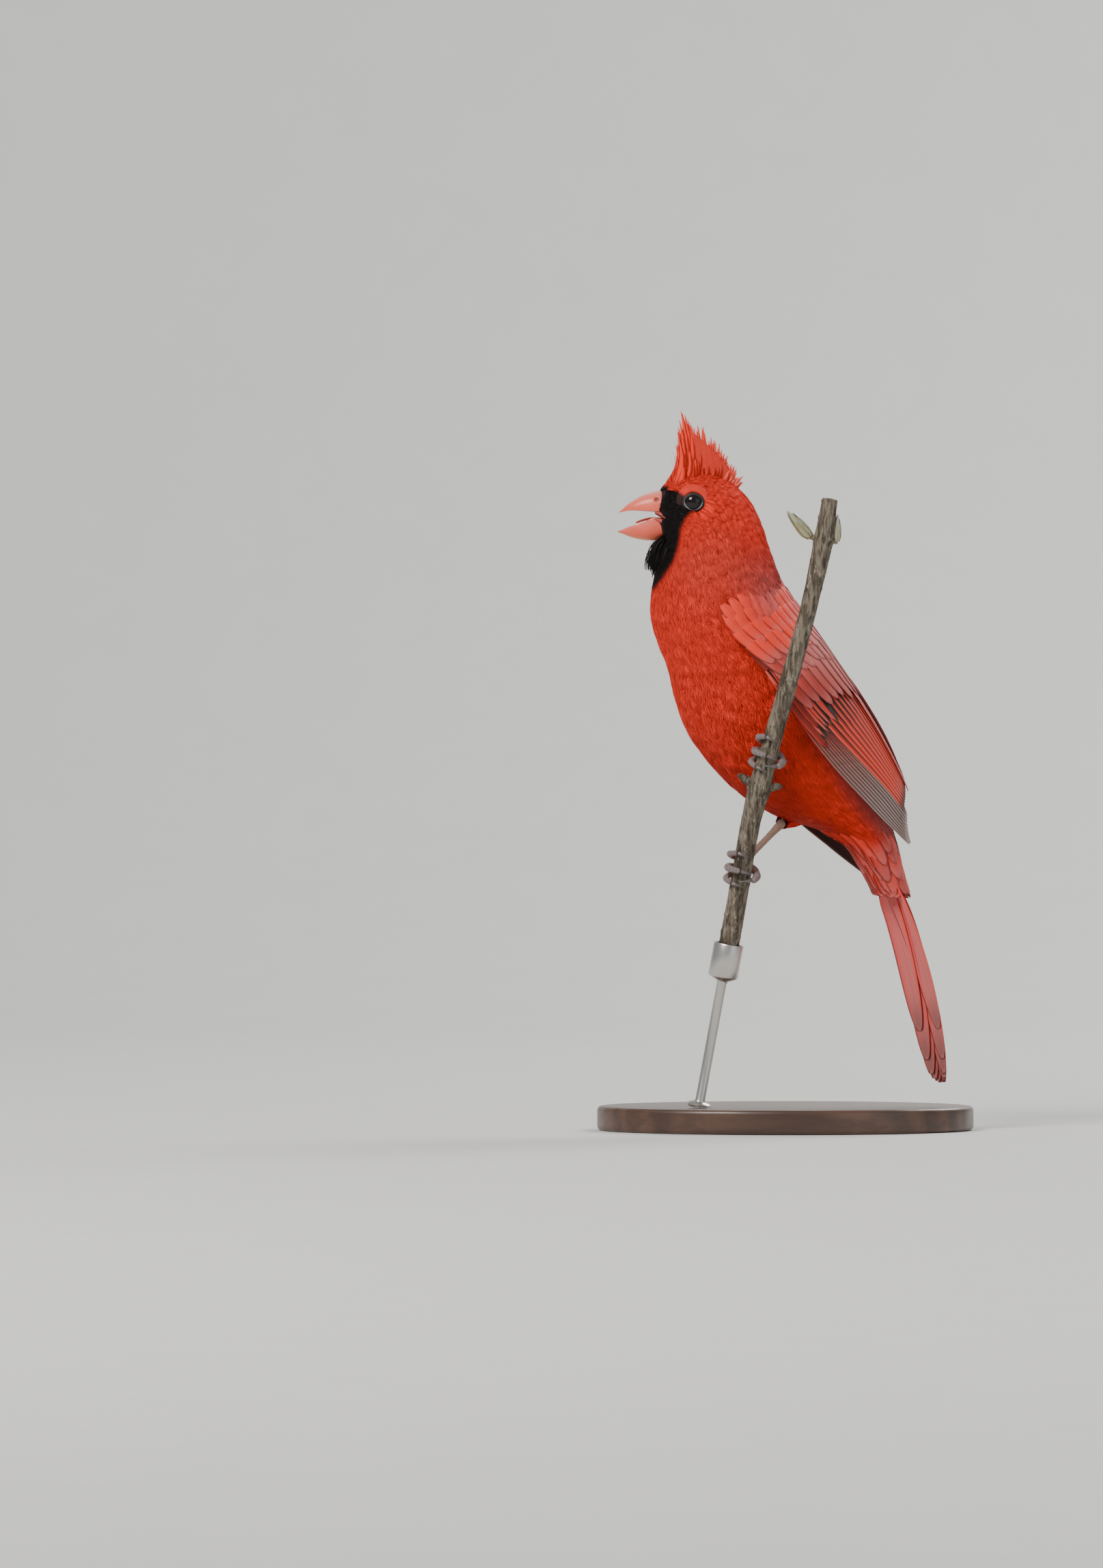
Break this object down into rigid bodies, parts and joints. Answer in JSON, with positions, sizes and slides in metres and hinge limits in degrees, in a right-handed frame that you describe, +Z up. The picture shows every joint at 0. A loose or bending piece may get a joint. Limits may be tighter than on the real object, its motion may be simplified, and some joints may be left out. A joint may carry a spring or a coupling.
{
  "type": "northern cardinal model",
  "caption": "Life-size model of a male northern cardinal singing with its crest raised, gripping an upright twig on a small oval display stand.",
  "frame": {"origin": "centre of the underside of the stand's base", "axes": "+Z up, the bird faces -X and its left side is towards -Y"},
  "size_m": [0.124, 0.088, 0.2381],
  "materials": {
    "plumage_red": "matte feather coat",
    "plumage_wing": "matte feather coat",
    "bill": "satin horn",
    "mouth": "moist satin",
    "eye": "polished dark",
    "leg": "scaled satin skin",
    "claw": "satin horn",
    "bark": "rough ridged bark",
    "bud": "satin scales",
    "base_wood": "dark satin varnish",
    "rod_metal": "satin brushed"
  },
  "bodies": {
    "root": {"stand_base": "base_wood", "stand_rod": "rod_metal", "perch_stem": "bark", "perch_bud_left": "bud", "perch_bud_right": "bud", "tail": "plumage_wing", "head": "plumage_red", "crest": "plumage_red", "bill_upper": "bill", "bill_lower": "bill", "tongue": "mouth", "eye_left": "eye", "eye_right": "eye", "neck": "plumage_red", "torso": "plumage_red", "rump": "plumage_red", "wing_left": "plumage_wing", "wing_right": "plumage_wing", "foot_left": "leg", "foot_right": "leg", "claw_left_hind": "claw", "claw_left_inner": "claw", "claw_left_middle": "claw", "claw_left_outer": "claw", "claw_right_hind": "claw", "claw_right_inner": "claw", "claw_right_middle": "claw", "claw_right_outer": "claw"}
  },
  "joints": []
}
